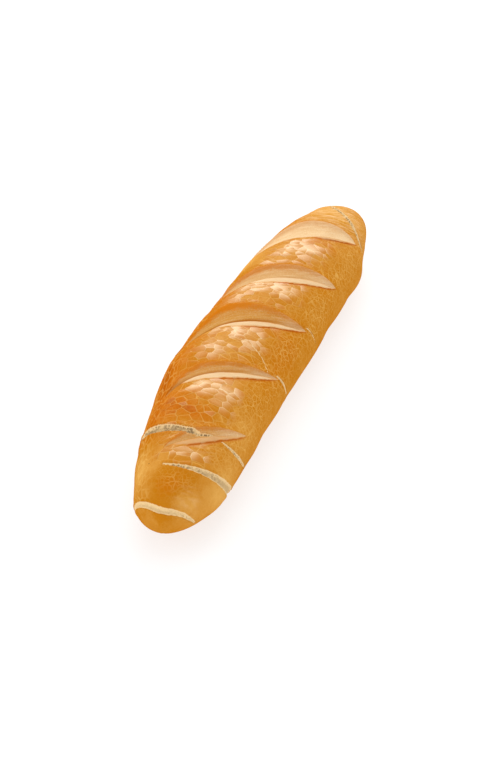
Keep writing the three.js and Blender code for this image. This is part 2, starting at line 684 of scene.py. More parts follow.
        low = ramp_up(turn, *zones.low_right) * (1.0 - sole)
        smooth_end = ramp_up(-x, *zones.smooth_end) * (1.0 - add_up(self.nets, x, turn))
        marks["net"] = (1.0 - left) * (1.0 - smooth_end) * tips
        marks["net"] *= (1.0 - zones.low_smooth * low) * (1.0 - zones.sole_smooth * sole)
        marks["folds"] = left * (1.0 - zones.hidden_smooth * hidden) * tips
        marks["folds"] *= ramp_up(turn, *zones.folded)
        marks["free"] = ramp_up(-np.abs(turn), *zones.free)
        marks["row"], marks["turn"] = ring, angle

    def build(self) -> bpy.types.Object:
        """Models the crust.

        Returns:
            The crust's object, with its marks stored as attributes of its vertices.
        """
        mesh = self._blank()
        ring, angle = self._ring_and_angle(mesh)
        x = self._along(ring, angle)
        dough = self.form.surface(x, angle)
        relief, lean = self._score_relief(x, angle)
        relief += self._swell(ring, angle) + self._crack_relief(dough)
        relief += add_up(self.swellings, x, np.degrees(angle))
        self._paint_marks(ring, x, angle)
        tipwards = ramp_up(self.form.girth(x), *self.tip_girths)
        points = self.form.settle(self.form.surface(x, angle, relief * tipwards))
        points[:, 0] += lean * tipwards
        mesh.vertices.foreach_set("co", points.ravel())
        for name, values in {"dough": dough, **self.marks}.items():
            self._store(mesh, name, values)
        mesh.shade_smooth()
        mesh.update()
        piece = bpy.data.objects.new("baguette_crust", mesh)
        bpy.context.scene.collection.objects.link(piece)
        return piece

    @staticmethod
    def _store(mesh: bpy.types.Mesh, name: str, values: Values) -> None:
        """Keeps values as an attribute of a mesh's vertices.

        Args:
            mesh: The mesh.
            name: The attribute's name.
            values: One number or one vector for each vertex.
        """
        vectors = values.ndim == 2
        layer = mesh.attributes.new(name, "FLOAT_VECTOR" if vectors else "FLOAT", "POINT")
        target = "vector" if vectors else "value"
        layer.data.foreach_set(target, values.astype(np.float32).ravel())


@dataclass(frozen=True)
class Noise:
    """Soft noise: the size of its lumps in metres, and how detailed and rough it is."""

    size: float
    detail: float = 2.0
    rough: float = 0.5


class Graph:
    """A node tree, of a material or of a modifier, that is written as Python expressions."""

    def __init__(self, tree: bpy.types.NodeTree) -> None:
        """Starts from a tree's nodes as they are."""
        self.tree = tree

    def add(self, kind: str, settings: dict[str, Any] | None = None,
            inputs: dict[str, Any] | None = None) -> bpy.types.Node:
        """Adds a node.

        Args:
            kind: The node's type.
            settings: Its properties, set first. "stops" holds a ramp's places and colours.
            inputs: Values or signals for its sockets, by name, or by name and number as "A.1".

        Returns:
            The node.
        """
        node = self.tree.nodes.new(kind)
        for name, value in (settings or {}).items():
            if name == "stops":
                self._set_stops(node.color_ramp, value)
            else:
                setattr(node, name, value)
        for name, value in (inputs or {}).items():
            self._feed(self._socket(node.inputs, name), value)
        return node

    @staticmethod
    def _set_stops(ramp: bpy.types.ColorRamp, stops: list[tuple[float, Colour]]) -> None:
        """Gives a colour ramp its stops.

        Args:
            ramp: The ramp.
            stops: The place and colour of each stop.
        """
        while len(ramp.elements) < len(stops):
            ramp.elements.new(1.0)
        for element, (place, colour) in zip(ramp.elements, stops):
            element.position = place
            element.color = (*colour, 1.0)

    @staticmethod
    def _socket(sockets: Any, name: str) -> bpy.types.NodeSocket:
        """A node's enabled socket by its name, or by its name and its number of those, as "A.1"."""
        wanted, _, number = name.partition(".")
        named = [socket for socket in sockets if socket.enabled and socket.name == wanted]
        return named[int(number or 0)]

    def _feed(self, socket: bpy.types.NodeSocket, value: Any) -> None:
        """Links a signal to a socket, or sets the socket's own value.

        Args:
            socket: The socket.
            value: The signal or value.
        """
        if isinstance(value, Signal):
            self.tree.links.new(value.socket, socket)
        elif socket.type == "RGBA":
            socket.default_value = (*value, 1.0)
        else:
            socket.default_value = value

    def signal(self, node: bpy.types.Node, name: str) -> "Signal":
        """A node's output, for use in expressions."""
        return Signal(self, self._socket(node.outputs, name))

    def mark(self, name: str, vector: bool = False) -> "Signal":
        """Reads what is stored on the mesh.

        Args:
            name: The name of the attribute.
            vector: Whether it holds vectors, not numbers.

        Returns:
            The value at each point.
        """
        if isinstance(self.tree, bpy.types.ShaderNodeTree):
            node = self.add("ShaderNodeAttribute", {"attribute_name": name})
            return self.signal(node, "Vector" if vector else "Fac")
        kind = {"data_type": "FLOAT_VECTOR" if vector else "FLOAT"}
        node = self.add("GeometryNodeInputNamedAttribute", kind, {"Name": name})
        return self.signal(node, "Attribute")

    def vector(self, operation: str, first: Any, second: Any, output: str = "Vector") -> "Signal":
        """Vector maths.

        Args:
            operation: What the Vector Math node does.
            first: A vector, or a signal that carries one.
            second: The other vector, or the number that SCALE multiplies by.
            output: "Vector", or "Value" where the result is a number.

        Returns:
            The result.
        """
        if operation == "SCALE":
            inputs = {"Vector": first, "Scale": second}
        else:
            inputs = {"Vector.0": first, "Vector.1": second}
        node = self.add("ShaderNodeVectorMath", {"operation": operation}, inputs)
        return self.signal(node, output)

    def step(self, value: "Signal", low: float, high: float) -> "Signal":
        """A smooth step from 0 at the low end to 1 at the high end."""
        inputs = {"Value": value, "From Min": low, "From Max": high}
        node = self.add("ShaderNodeMapRange", {"interpolation_type": "SMOOTHSTEP"}, inputs)
        return self.signal(node, "Result")

    def noise(self, where: "Signal", kind: Noise) -> "Signal":
        """Soft noise, 0 to 1."""
        inputs = {"Vector": where, "Scale": 1.0 / kind.size, "Detail": kind.detail,
                  "Roughness": kind.rough}
        return self.signal(self.add("ShaderNodeTexNoise", {}, inputs), "Fac")

    def sway(self, where: "Signal", kind: Noise, amount: float) -> "Signal":
        """Soft noise round 0, with an amount from its lowest to its highest."""
        return (self.noise(where, kind) - 0.5) * amount

    def scatter(self, where: "Signal", size: float, amount: float) -> "Signal":
        """A place moved about at random.

        Args:
            where: The place.
            size: Size of the noise's lumps, in metres.
            amount: About how far the place moves, in metres.

        Returns:
            The moved place.
        """
        drift = self.add("ShaderNodeTexNoise", {}, {"Vector": where, "Scale": 1.0 / size})
        aside = self.vector("SUBTRACT", self.signal(drift, "Color"), MIDDLE_OF_NOISE)
        return self.vector("ADD", where, self.vector("SCALE", aside, amount))

    def cracks(self, where: "Signal", size: float, half_width: float) -> "Signal":
        """Lines between cells.

        Args:
            where: The place.
            size: Size of a cell, in metres.
            half_width: Half of a line's width, in metres.

        Returns:
            1 in the middle of a line, 0 away from it.
        """
        inputs = {"Vector": where, "Scale": 1.0 / size}
        edge = self.add("ShaderNodeTexVoronoi", {"feature": "DISTANCE_TO_EDGE"}, inputs)
        full = half_width / size
        return 1.0 - self.step(self.signal(edge, "Distance"), LINE_CORE * full, full)


@dataclass(frozen=True)
class Signal:
    """A number, vector or colour in a node tree. Arithmetic on it adds Math nodes."""

    graph: Graph
    socket: bpy.types.NodeSocket

    def _math(self, operation: str, first: Any, second: Any = 0.0) -> "Signal":
        """Adds a Math node."""
        inputs = {"Value.0": first, "Value.1": second}
        node = self.graph.add("ShaderNodeMath", {"operation": operation}, inputs)
        return self.graph.signal(node, "Value")

    def __add__(self, other: Any) -> "Signal":
        """The sum."""
        return self._math("ADD", self, other)

    __radd__ = __add__

    def __mul__(self, other: Any) -> "Signal":
        """The product."""
        return self._math("MULTIPLY", self, other)

    __rmul__ = __mul__

    def __sub__(self, other: Any) -> "Signal":
        """The difference."""
        return self._math("SUBTRACT", self, other)

    def __rsub__(self, other: Any) -> "Signal":
        """The difference, the other way round."""
        return self._math("SUBTRACT", other, self)

    def __truediv__(self, other: Any) -> "Signal":
        """The quotient."""
        return self._math("DIVIDE", self, other)

    def largest(self, other: Any) -> "Signal":
        """The larger of two numbers."""
        return self._math("MAXIMUM", self, other)

    def mix(self, first: Any, second: Any) -> "Signal":
        """A colour between two, by this share.

        Args:
            first: The colour where the share is 0.
            second: The colour where the share is 1.

        Returns:
            The mixed colour.
        """
        inputs = {"Factor": self, "A": first, "B": second}
        node = self.graph.add("ShaderNodeMix", {"data_type": "RGBA"}, inputs)
        return self.graph.signal(node, "Result")


@dataclass(frozen=True)
class Plates:
    """The crackle at a point: distance to a plate's edge, lift, tint, and place along the plate,
    which sets where the painted highlight brightens it.
    """

    edge: Signal
    lift: Signal
    tint: Signal
    along: Signal


@dataclass(frozen=True)
class Crackle:
    """Plates that the crust broke into. The same pattern shapes the mesh and colours it."""

    plate_size: float = 0.0061
    plate_stretch: tuple[float, float, float] = (1.12, 0.86, 1.0)
    wander: float = 0.0006
    wander_size: float = 0.005
    tilt: float = 0.05
    step: float = 0.0002
    groove: float = 0.0001
    groove_width: float = 0.0009
    # Direction along each plate towards which the painted highlight brightens it.
    facing: tuple[float, float, float] = (0.2, 0.7, 0.0)
    facing_spread: float = 1.3
    lumps: float = 0.0016
    lump_noise: Noise = Noise(0.028)
    folds: float = 0.0011
    fold_noise: Noise = Noise(0.0045, 1.5)
    fold_stretch: float = 0.22
    fold_wander: float = 0.002
    fold_wander_size: float = 0.01

    def plates(self, graph: Graph, dough: Signal) -> Plates:
        """Lays out the plates.

        Args:
            graph: The tree of the material or modifier.
            dough: Place on the smooth dough.

        Returns:
            The pattern, with its distances in metres.
        """
        moved = graph.scatter(dough, self.wander_size, self.wander)
        bent = graph.vector("MULTIPLY", moved, self.plate_stretch)
        cells = {"Vector": bent, "Scale": 1.0 / self.plate_size}
        cell = graph.add("ShaderNodeTexVoronoi", {"feature": "F1"}, cells)
        edge = graph.add("ShaderNodeTexVoronoi", {"feature": "DISTANCE_TO_EDGE"}, cells)
        tint = graph.signal(cell, "Color")
        out = graph.vector("SUBTRACT", bent, graph.signal(cell, "Position"))
        lean = graph.vector("SUBTRACT", tint, MIDDLE_OF_NOISE)
        slope = graph.vector("DOT_PRODUCT", out, lean, "Value")
        offset = graph.vector("DOT_PRODUCT", tint, (0.0, 0.0, 1.0), "Value")
        lift = slope * self.tilt + offset * self.step
        facing = graph.vector("ADD", graph.vector("SCALE", lean, self.facing_spread), self.facing)
        along = graph.vector("DOT_PRODUCT", out, facing, "Value") / self.plate_size
        return Plates(graph.signal(edge, "Distance") * self.plate_size, lift, offset, along)

    def press_into(self, piece: bpy.types.Object) -> None:
        """Shapes a piece's crust into plates and folds, and applies the change to its mesh.

        Args:
            piece: The object, whose mesh has the marks.
        """
        tree = bpy.data.node_groups.new("crust_relief", "GeometryNodeTree")
        for direction in ("INPUT", "OUTPUT"):
            tree.interface.new_socket(
                "Geometry", in_out=direction, socket_type="NodeSocketGeometry")
        graph = Graph(tree)
        dough = graph.mark("dough", vector=True)
        pattern = self.plates(graph, dough)
        groove = (1.0 - graph.step(pattern.edge, 0.0, self.groove_width)) * self.groove
        stretched = graph.vector("MULTIPLY", dough, (self.fold_stretch, 1.0, 1.0))
        stretched = graph.scatter(stretched, self.fold_wander_size, self.fold_wander)
        height = (pattern.lift - groove) * graph.mark("plates")
        height = height + graph.sway(dough, self.lump_noise, self.lumps) * graph.mark("free")
        height = height + graph.sway(stretched, self.fold_noise, self.folds) * graph.mark("folds")
        normal = graph.signal(graph.add("GeometryNodeInputNormal"), "Normal")
        shift = graph.vector("SCALE", normal, height)
        loaf = graph.signal(graph.add("NodeGroupInput"), "Geometry")
        placed = graph.add("GeometryNodeSetPosition", {}, {"Geometry": loaf, "Offset": shift})
        graph.add("NodeGroupOutput", {}, {"Geometry": graph.signal(placed, "Geometry")})
        modifier = piece.modifiers.new("crust_relief", "NODES")
        modifier.node_group = tree
        evaluated = piece.evaluated_get(bpy.context.evaluated_depsgraph_get())
        shaped = bpy.data.meshes.new_from_object(evaluated)
        piece.modifiers.remove(modifier)
        piece.data = shaped


@dataclass(frozen=True)
class LineSizes:
    """Sizes of the pale lines: a net's cell and half a line's width, in metres, and strengths."""

    fine: Range = (0.0025, 0.00028)
    coarse: Range = (0.0052, 0.00030)
    along: Range = (0.0030, 0.00034)
    along_stretch: tuple[float, float, float] = (0.35, 1.0, 1.0)
    wander: float = 0.0014
    wander_size: float = 0.004
    plate_edge: Range = (0.00005, 0.00036)
    plate_strength: float = 0.52
    # Lines round plates grow stronger under the painted highlight.
    plate_glow: float = 0.2
    fine_strength: float = 0.55
    coarse_from: Range = (0.45, 0.9)
    under_plates: float = 0.7
    net_strength: float = 0.6
    along_strength: float = 0.5
    patches: Noise = Noise(0.012)
    patch_blend: Range = (0.36, 0.6)
    patch_least: float = 0.55


@dataclass(frozen=True)
class FloorLook:
    """How a score's floor changes from its crease to its far edge. A pair is a blend's ends."""

    speckle: float = 0.4
    far_paleness: float = 0.7
    far_blend: Range = (0.15, 0.9)
    light_grain: Range = (0.4, 0.7)
    light_grain_strength: float = 0.13
    dark_grain: Range = (0.6, 0.3)
    dark_grain_strength: float = 0.22
    streaks: float = 0.15
    pale_streaks: float = 0.4
    browned: Range = (0.70, 0.92)
    browned_strength: float = 0.95
    pale_unbrowned: float = 0.85
    browned_turn: Range = (0.7, -0.6)
    browned_least: float = 0.45


@dataclass(frozen=True)
class Gloss:
    """Roughness, coat and fine bumps of the crust. Heights are in metres."""

    roughness: float = 0.46
    glow_roughness: float = -0.12
    raw_roughness: float = 0.22
    speckle_roughness: float = 0.15
    plate_coat: float = 0.07
    glow_coat: float = 0.3
    coat_roughness: float = 0.28
    specular: float = 0.0
    grain_height: float = 0.00004
    raw_grain_height: float = 0.00012
    speckle_height: float = 0.00022
    line_depth: float = 0.00012
    pore_depth: float = 0.0006
    streak_height: float = 0.00012
    plate_lift: float = 1.4


@dataclass(frozen=True)
class CrustFinish:
    """Baked crust: golden and satin, darker where it stood up to the heat, pale where it tore open.

    Lengths are in metres. A blend is where an edge goes from nothing to full.
    """

    crackle: Crackle
    specks: tuple[tuple[float, float, float], ...]
    lines: LineSizes = LineSizes()
    floors: FloorLook = FloorLook()
    gloss: Gloss = Gloss()
    pale_crust: Colour = (0.76, 0.40, 0.092)
    golden_crust: Colour = (0.55, 0.195, 0.008)
    orange_crust: Colour = (0.56, 0.148, 0.003)
    burnt_crust: Colour = (0.36, 0.055, 0.002)
    bake_stops: tuple[float, ...] = (0.0, 0.42, 0.78, 1.0)
    line: Colour = (0.82, 0.47, 0.12)
    # Paler flake colour that also carries the painted highlight on the plates; the wisps use it
    # too. The lines round those plates turn paler under the painted highlight.
    pale_flake_and_sheen: Colour = (0.92, 0.63, 0.34)
    sheen_line: Colour = (0.97, 0.72, 0.42)
    sheen_line_blend: Range = (0.0, 0.4)
    # Painted shadow on the crust in front of a lifted lip, and its strength.
    lip_shadow: Colour = (0.47, 0.085, 0.005)
    lip_shadow_strength: float = 0.8
    floor_far: Colour = (0.52, 0.205, 0.022)
    floor_near: Colour = (0.56, 0.265, 0.045)
    floor_pale: Colour = (0.86, 0.63, 0.36)
    floor_edge: Colour = (0.64, 0.18, 0.004)
    floor_blend: Range = (-0.0002, 0.0003)
    streak: Colour = (0.93, 0.72, 0.44)
    lip: Colour = (0.82, 0.57, 0.32)
    lip_blend: Range = (-0.0002, 0.0004)
    lip_front: Colour = (0.72, 0.32, 0.075)
    lip_front_blend: Range = (0.0001, 0.0012)
    lip_least: float = 0.2
    lip_streaks: float = 0.4
    lip_dust: float = 0.15
    crumb: Colour = (0.86, 0.61, 0.31)
    crumb_inside: Colour = (0.62, 0.43, 0.21)
    crumb_blend: Range = (0.0005, 0.0022)
    crack_blend: Range = (-0.0001, 0.0002)
    # Painted shade inside the pores.
    pore_shade: Colour = (0.34, 0.21, 0.10)
    pore_size: float = 0.0011
    pore_blend: Range = (0.35, 0.7)
    pore_depths: Range = (0.0002, 0.0007)
    pore_patches: Noise = Noise(0.004)
    pore_patch_blend: Range = (0.35, 0.55)
    pore_least: float = 0.3
    # Painted shade for the creases behind the lips.
    crease_shade: Colour = (0.37, 0.10, 0.004)
    speck: Colour = (0.05, 0.025, 0.01)
    speck_size: float = 0.0005
    speckle: Noise = Noise(0.004, 4.0, 0.65)
    grain: Noise = Noise(0.0009, 2.0, 0.7)
    ragged: Noise = Noise(0.0016, 3.0)
    ragged_by: float = 0.0006
    torn: Noise = Noise(0.006, 1.0)
    torn_by: float = 0.0016
    mottle: Noise = Noise(0.03, 3.0, 0.6)
    mottle_tone: float = 0.35
    speckle_tone: float = 0.25
    grain_tone: float = 0.16
    plate_tone: float = 0.25
    # Where plates get the paler flake colour and the painted highlight; glow_facing paints each
    # plate brighter towards one side.
    rows: Noise = Noise(0.009, 1.5)
    rows_stretch: tuple[float, float, float] = (1.0, 0.4, 0.4)
    rows_glow: float = 0.7
    plate_glow: float = 0.8
    glow_blend: Range = (0.1, 1.15)
    glow_least: float = 0.16
    glow_facing: float = 0.66
    facing_blend: Range = (-0.45, 0.45)
    streak_width: float = 0.0016
    streaks_round: float = 3.0
    streak_noise: Noise = Noise(1.0, 3.0)
    streak_blend: Range = (0.4, 0.75)

    def dress(self, piece: bpy.types.Object) -> None:
        """Gives a piece the crust material.

        Args:
            piece: The object, whose mesh has the marks.
        """
        material = bpy.data.materials.new("baked_crust")
        material.use_nodes = True
        graph = Graph(material.node_tree)
        material.node_tree.nodes.clear()
        dough, mark = graph.mark("dough", vector=True), graph.mark
        pattern = self.crackle.plates(graph, dough)
        flake_sheen = self._flake_sheen(graph, dough, pattern)
        lines = self._lines(graph, dough, pattern, flake_sheen)
        ragged = graph.sway(dough, self.ragged, self.ragged_by)
        floor = graph.step(mark("floor") + ragged, *self.floor_blend)
        crack = graph.step(mark("crack") + ragged * 0.5, *self.crack_blend)
        torn = ragged * 0.5 + graph.sway(dough, self.torn, self.torn_by)
        lip = graph.step(mark("lip") + torn, *self.lip_blend)
        pores, streaks = self._pores(graph, dough), self._streaks(graph)
        speckle = graph.noise(dough, self.speckle) - 0.5
        grain = graph.noise(dough, self.grain)

        colour = self._crust_colour(graph, dough, pattern, speckle, grain)
        # Paler flakes with a painted highlight, and paler lines round them.
        colour = flake_sheen.mix(colour, self.pale_flake_and_sheen)
        sheen_share = graph.step(flake_sheen, *self.sheen_line_blend)
        colour = lines.mix(colour, sheen_share.mix(self.line, self.sheen_line))
        colour = (mark("wisps") * streaks).mix(colour, self.pale_flake_and_sheen)
        # Painted shadow on the crust just in front of the lifted lips.
        colour = (mark("under") * self.lip_shadow_strength).mix(colour, self.lip_shadow)
        colour = floor.mix(colour, self._floor_colour(graph, speckle, grain, streaks))
        lip_colour = self._lip_colour(graph, mark("lip") + torn, grain, streaks)
        colour = (lip * mark("cream")).mix(colour, lip_colour)
        # Painted shade in the crease behind each lip, strongest on the left.
        colour = mark("shade").mix(colour, self.crease_shade)
        inmost = graph.step(mark("crack") + ragged, *self.crumb_blend)
        crumb = inmost.mix(self.crumb, self.crumb_inside)
        # Painted shade in the pores of the crumb.
        colour = crack.mix(colour, pores.mix(crumb, self.pore_shade))
        colour = self._specks(graph, dough).mix(colour, self.speck)

        gloss, raw = self.gloss, floor.largest(crack).largest(lip)
        roughness = gloss.roughness + flake_sheen * gloss.glow_roughness + raw * gloss.raw_roughness
        coat = mark("plates") * gloss.plate_coat + flake_sheen * gloss.glow_coat
        height = (grain - 0.5) * (gloss.grain_height + gloss.raw_grain_height * raw)
        height = height + speckle * gloss.speckle_height - lines * gloss.line_depth
        height = height - pores * crack * gloss.pore_depth + streaks * floor * gloss.streak_height
        height = height + pattern.lift * mark("plates") * gloss.plate_lift
        bump = graph.add("ShaderNodeBump", {}, {"Height": height, "Distance": 1.0, "Strength": 1.0})
        shader = graph.add("ShaderNodeBsdfPrincipled", {}, {
            "Base Color": colour,
            "Roughness": roughness + speckle * gloss.speckle_roughness,
            "Coat Weight": coat,
            "Coat Roughness": gloss.coat_roughness,
            "Specular IOR Level": gloss.specular,
            "Normal": graph.signal(bump, "Normal"),
        })
        graph.add("ShaderNodeOutputMaterial", {}, {"Surface": graph.signal(shader, "BSDF")})
        piece.data.materials.clear()
        piece.data.materials.append(material)

    def _crust_colour(self, graph: Graph, dough: Signal, pattern: Plates, speckle: Signal,
                      grain: Signal) -> Signal:
        """The plain crust, from pale to burnt.

        Args:
            graph: The material's tree.
            dough: Place on the smooth dough.
            pattern: The plates, each of a slightly different tone.
            speckle: Coarse noise round 0.
            grain: Fine noise, 0 to 1.

        Returns:
            The colour.
        """
        tone = graph.mark("bake") + graph.sway(dough, self.mottle, self.mottle_tone)
        tone = tone + speckle * self.speckle_tone + (grain - 0.5) * self.grain_tone
        tone = tone + (pattern.tint - 0.5) * graph.mark("plates") * self.plate_tone
        colours = (self.pale_crust, self.golden_crust, self.orange_crust, self.burnt_crust)
        stops = list(zip(self.bake_stops, colours))
        ramp = graph.add("ShaderNodeValToRGB", {"stops": stops}, {"Fac": tone})
        return graph.signal(ramp, "Color")

    def _flake_sheen(self, graph: Graph, dough: Signal, pattern: Plates) -> Signal:
        """Picks out the flaked plates: paler crust, with a painted highlight that is brighter
        towards one side of each plate.

        Args:
            graph: The material's tree.
            dough: Place on the smooth dough.
            pattern: The plates.

        Returns:
            How much paler flake colour and painted highlight they get, 0 to 1.
        """
        rows = graph.vector("MULTIPLY", dough, self.rows_stretch)
        chosen = graph.mark("flake_sheen") + graph.sway(rows, self.rows, self.rows_glow)
        chosen = chosen + (pattern.tint - 0.5) * self.plate_glow
        here = graph.step(chosen, *self.glow_blend) * graph.mark("plates")
        facing = graph.step(pattern.along, *self.facing_blend)
        return here * (self.glow_least + self.glow_facing * facing)

    def _lines(self, graph: Graph, dough: Signal, pattern: Plates, flake_sheen: Signal) -> Signal:
        """Pale lines between plates, in the fine net of the flanks and along the folds.

        Args:
            graph: The material's tree.
            dough: Place on the smooth dough.
            pattern: The plates.
            flake_sheen: How much paler flake colour and painted highlight the plates get.

        Returns:
            0 to 1.
        """
        sizes, plates, there = self.lines, graph.mark("plates"), graph.mark("net")
        patchy = graph.step(graph.noise(dough, sizes.patches), *sizes.patch_blend)
        patchy = at_least(sizes.patch_least, patchy)
        strength = sizes.plate_strength + sizes.plate_glow * flake_sheen
        edges = plates * (1.0 - graph.step(pattern.edge, *sizes.plate_edge)) * strength
        bent = graph.scatter(dough, sizes.wander_size, sizes.wander)
        fine = graph.cracks(bent, *sizes.fine) * sizes.fine_strength
        coarse = graph.cracks(bent, *sizes.coarse) * graph.step(there, *sizes.coarse_from)
        net = fine.largest(coarse) * there * (1.0 - plates * sizes.under_plates)
        net = net * patchy * sizes.net_strength
        stretched = graph.vector("MULTIPLY", bent, sizes.along_stretch)
        along = graph.cracks(stretched, *sizes.along) * graph.mark("folds")
        return edges.largest(net).largest(along * patchy * sizes.along_strength)

    def _streaks(self, graph: Graph) -> Signal:
        """Draws the streaks that run beside a score.

        Args:
            graph: The material's tree.

        Returns:
            0 to 1.
        """
        row, turn = graph.mark("row") / self.streak_width, graph.mark("turn") * self.streaks_round
        beside = graph.add("ShaderNodeCombineXYZ", {}, {"X": row, "Y": turn})
        noise = graph.noise(graph.signal(beside, "Vector"), self.streak_noise)
        return graph.step(noise, *self.streak_blend)

    def _floor_colour(self, graph: Graph, speckle: Signal, grain: Signal,
                      streaks: Signal) -> Signal:
        """The floor of a score: pale or tan at the crease, browner behind, orange at the edge.

        Args:
            graph: The material's tree.
            speckle: Coarse noise round 0.
            grain: Fine noise, 0 to 1.
            streaks: Streaks that run beside the score, 0 to 1.

        Returns:
            The colour.
        """
        look, pale = self.floors, graph.mark("paleness")
        rise = graph.mark("rise") + speckle * look.speckle
        near = pale.mix(self.floor_near, self.floor_pale)
        far = (pale * look.far_paleness).mix(self.floor_far, self.floor_pale)
        inner = graph.step(rise, *look.far_blend).mix(near, far)
        light = graph.step(grain, *look.light_grain) * look.light_grain_strength
        inner = light.mix(inner, self.streak)
        streaked = streaks * (look.streaks + look.pale_streaks * pale)
        inner = streaked.mix(inner, self.streak)
        dark = graph.step(grain, *look.dark_grain) * look.dark_grain_strength
        inner = dark.mix(inner, self.floor_edge)
        browned = graph.step(rise, *look.browned)
        browned = browned * (look.browned_strength - look.pale_unbrowned * pale)
        leftward = graph.step(graph.mark("turn"), *look.browned_turn)
        return (browned * at_least(look.browned_least, leftward)).mix(inner, self.floor_edge)

    def _lip_colour(self, graph: Graph, inside: Signal, grain: Signal, streaks: Signal) -> Signal:
        """A lip: pale and streaky inside, deeper orange towards its edges.

        Args:
            graph: The material's tree.
            inside: Distance inside the lip's edge.
            grain: Fine noise, 0 to 1.
            streaks: Streaks that run beside the score, 0 to 1.

        Returns:
            The colour.
        """
        dust = graph.step(grain, *self.floors.dark_grain) * self.lip_dust
        pale = dust.mix((streaks * self.lip_streaks).mix(self.lip, self.streak), self.lip_front)
        front = at_least(self.lip_least, graph.step(inside, *self.lip_front_blend))
        return front.mix(self.lip_front, pale)

    def _pores(self, graph: Graph, dough: Signal) -> Signal:
        """Marks the pores in the torn crumb of the cracks, for painted shade in their holes and
        dips in the bump.

        Args:
            graph: The material's tree.
            dough: Place on the smooth dough.

        Returns:
            0 to 1.
        """
        inputs = {"Vector": dough, "Scale": 1.0 / self.pore_size}
        cell = graph.add("ShaderNodeTexVoronoi", {"feature": "F1"}, inputs)
        hole = 1.0 - graph.step(graph.signal(cell, "Distance"), *self.pore_blend)
        deep = graph.step(graph.mark("crack"), *self.pore_depths)
        patchy = graph.step(graph.noise(dough, self.pore_patches), *self.pore_patch_blend)
        return hole * deep * at_least(self.pore_least, patchy) * graph.mark("porous")

    def _specks(self, graph: Graph, dough: Signal) -> Signal:
        """Sets the few dark specks.

        Args:
            graph: The material's tree.
            dough: Place on the smooth dough.

        Returns:
            0 to 1.
        """
        core = 0.5 * self.speck_size
        far = [graph.vector("DISTANCE", dough, place, "Value") for place in self.specks]
        dark = [1.0 - graph.step(distance, core, self.speck_size) for distance in far]
        return reduce(Signal.largest, dark)


class Role(Enum):
    """What a light does."""

    BACK = "back_light"
    RIGHT = "right_light"
    LEFT = "left_light"
    TOP = "top_light"


@dataclass(frozen=True)
class SoftLight:
    """A square soft box that points at the loaf."""

    role: Role
    place: tuple[float, float, float]
    side: float
    power: float

    def hang(self, target: Vector) -> None:
        """Hangs the light.

        Args:
            target: Where it points.
        """
        lamp = bpy.data.lights.new(self.role.value, "AREA")
        lamp.size = self.side
        lamp.energy = self.power
        holder = bpy.data.objects.new(self.role.value, lamp)
        holder.location = self.place
        holder.rotation_euler = (target - Vector(self.place)).to_track_quat("-Z", "Y").to_euler()
        holder.visible_camera = False
        bpy.context.scene.collection.objects.link(holder)


@dataclass(frozen=True)
class Studio:
    """A plain pale floor, soft light and the camera."""

    azimuth: float = -73.2
    elevation: float = 28.94
    distance: float = 1.1544
    lens: float = 87.4
    shift: tuple[float, float] = (-0.0038, -0.0522)
    floor_half: float = 6.0
    floor_colour: Colour = (0.30, 0.30, 0.30)
    floor_roughness: float = 0.9
    floor_glow: float = 0.72
    ambient: float = 0.81
    lights: tuple[SoftLight, ...] = (
        SoftLight(Role.BACK, (1.7, 0.25, 0.95), 1.3, 20.5),
        SoftLight(Role.RIGHT, (-1.5, -1.4, 0.9), 1.4, 5.0),
        SoftLight(Role.LEFT, (-0.8, 1.7, 0.9), 1.4, 8.0),
        SoftLight(Role.TOP, (-0.1, 0.3, 1.9), 1.4, 3.0),
    )

    def lay_floor(self) -> None:
        """Lays the floor under the loaf's sole."""
        plane = bmesh.new()
        bmesh.ops.create_grid(plane, x_segments=1, y_segments=1, size=self.floor_half)
        mesh = bpy.data.meshes.new("floor")
        plane.to_mesh(mesh)
        plane.free()
        floor = bpy.data.objects.new("floor", mesh)
        bpy.context.scene.collection.objects.link(floor)
        material = bpy.data.materials.new("pale_floor")
        material.use_nodes = True
        inputs = material.node_tree.nodes["Principled BSDF"].inputs
        inputs["Base Color"].default_value = (*self.floor_colour, 1.0)
        inputs["Roughness"].default_value = self.floor_roughness
        inputs["Emission Color"].default_value = (1.0, 1.0, 1.0, 1.0)
        inputs["Emission Strength"].default_value = self.floor_glow
        mesh.materials.append(material)

    def light(self, target: Vector) -> None:
        """Lights the set from a white surround and the soft boxes.

        Args:
            target: Where the soft boxes point.
        """
        world = bpy.data.worlds.new("surround")
        world.use_nodes = True
        inputs = world.node_tree.nodes["Background"].inputs
        inputs["Strength"].default_value = self.ambient
        inputs["Color"].default_value = (1.0, 1.0, 1.0, 1.0)
        bpy.context.scene.world = world
        for light in self.lights:
            light.hang(target)
        bpy.context.scene.view_settings.view_transform = "Standard"

    def set_camera(self, target: Vector) -> None:
        """Sets the camera up at its angle.

        Args:
            target: Where it looks.
        """
        turn, rise = math.radians(self.azimuth), math.radians(self.elevation)
        flat = math.cos(rise)
        back = Vector((math.sin(turn) * flat, -math.cos(turn) * flat, math.sin(rise)))
        camera = bpy.data.objects.new("camera", bpy.data.cameras.new("camera"))
        camera.data.lens = self.lens
        camera.data.shift_x, camera.data.shift_y = self.shift
        camera.location = target + back * self.distance
        camera.rotation_euler = (-back).to_track_quat("-Z", "Y").to_euler()
        bpy.context.scene.collection.objects.link(camera)
        bpy.context.scene.camera = camera


